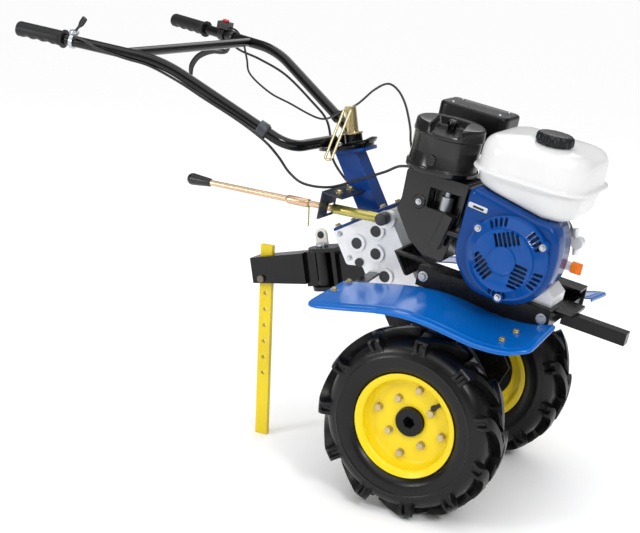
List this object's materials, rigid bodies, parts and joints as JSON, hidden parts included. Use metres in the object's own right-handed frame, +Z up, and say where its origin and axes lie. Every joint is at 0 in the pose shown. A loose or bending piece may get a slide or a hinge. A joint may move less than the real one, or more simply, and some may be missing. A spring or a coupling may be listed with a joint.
{
  "type": "two-wheel hand tractor",
  "caption": "Walk-behind hand tractor: petrol engine on a bed, gear case with a leg to the axle, lugged wheels, mudguards, swivelling handlebar and a drag bar hitch.",
  "frame": {"origin": "floor point under the middle of the parked machine's length and width", "axes": "+X forward to the engine's front bar, +Y to the operator's left, +Z up"},
  "size_m": [1.363, 0.6436, 0.996],
  "materials": {
    "tyre_rubber": "matte",
    "rim_yellow": "gloss",
    "black_paint": "satin",
    "bare_steel": "bare",
    "cast_alloy": "cast",
    "blue_paint": "gloss",
    "gate_steel": "satin",
    "zinc_gold": "yellow zinc",
    "black_plastic": "moulded",
    "grip_rubber": "matte",
    "tank_white": "gloss",
    "coulter_yellow": "gloss",
    "muffler_black": "matt",
    "oil_orange": "moulded",
    "switch_red": "gloss"
  },
  "bodies": {
    "chassis": {"leg_case": "black_paint", "gear_case": "cast_alloy", "case_plugs": "grip_rubber", "brace_plate": "black_paint", "steering_column": "blue_paint", "shift_gate": "gate_steel", "gear_lever": "zinc_gold", "gear_lever_knob": "black_plastic", "bed_rail_right": "black_paint", "bed_rail_left": "black_paint", "bed_plates": "black_paint", "front_bar": "black_paint", "engine_block": "cast_alloy", "fan_shroud": "blue_paint", "recoil_starter": "blue_paint", "recoil_grip": "black_plastic", "fuel_tank": "tank_white", "tank_cap": "black_plastic", "air_cleaner": "black_plastic", "air_cleaner_base": "black_plastic", "carburettor": "cast_alloy", "muffler": "muffler_black", "oil_plug": "oil_orange", "belt_guard": "black_plastic", "fender_right": "blue_paint", "fender_left": "blue_paint", "fender_stays": "black_paint", "hitch_clevis": "black_paint", "hitch_pin": "bare_steel", "hitch_lug": "cast_alloy"},
    "wheelset": {"axle_shaft": "bare_steel", "hub_right": "black_paint", "hub_left": "black_paint", "rim_right": "rim_yellow", "rim_left": "rim_yellow", "tyre_right": "tyre_rubber", "tyre_left": "tyre_rubber"},
    "handlebar": {"swivel_head": "black_paint", "clamp_nut": "zinc_gold", "clamp_bail": "zinc_gold", "handle_right": "black_paint", "handle_left": "black_paint", "handle_crossbar": "black_paint", "grip_right": "grip_rubber", "grip_left": "grip_rubber", "throttle_lever": "black_plastic", "clutch_lever": "black_plastic", "stop_switch": "black_plastic", "switch_button": "switch_red", "cable_straps": "grip_rubber", "throttle_cable": "grip_rubber", "clutch_cable": "grip_rubber", "switch_wire": "grip_rubber"},
    "hitch": {"drawbar": "black_paint", "coulter_bar": "coulter_yellow", "coulter_bolt": "bare_steel"}
  },
  "joints": [
    {"name": "wheel_spin", "type": "hinge", "parent": "chassis", "child": "wheelset", "pos_m": [0.29711, 0, 0.206], "axis": [0, 1, 0], "continuous": true},
    {"name": "handlebar_swivel", "type": "hinge", "parent": "chassis", "child": "handlebar", "pos_m": [0.02634, 0, 0.73201], "axis": [-0.1736, 0, 0.9848], "range_deg": [-30, 30], "deforming": ["throttle_cable", "clutch_cable", "switch_wire"]},
    {"name": "hitch_swing", "type": "hinge", "parent": "chassis", "child": "hitch", "pos_m": [-0.03572, 0, 0.4434], "axis": [-0.1908, 0, 0.9816], "range_deg": [-15, 15]}
  ]
}
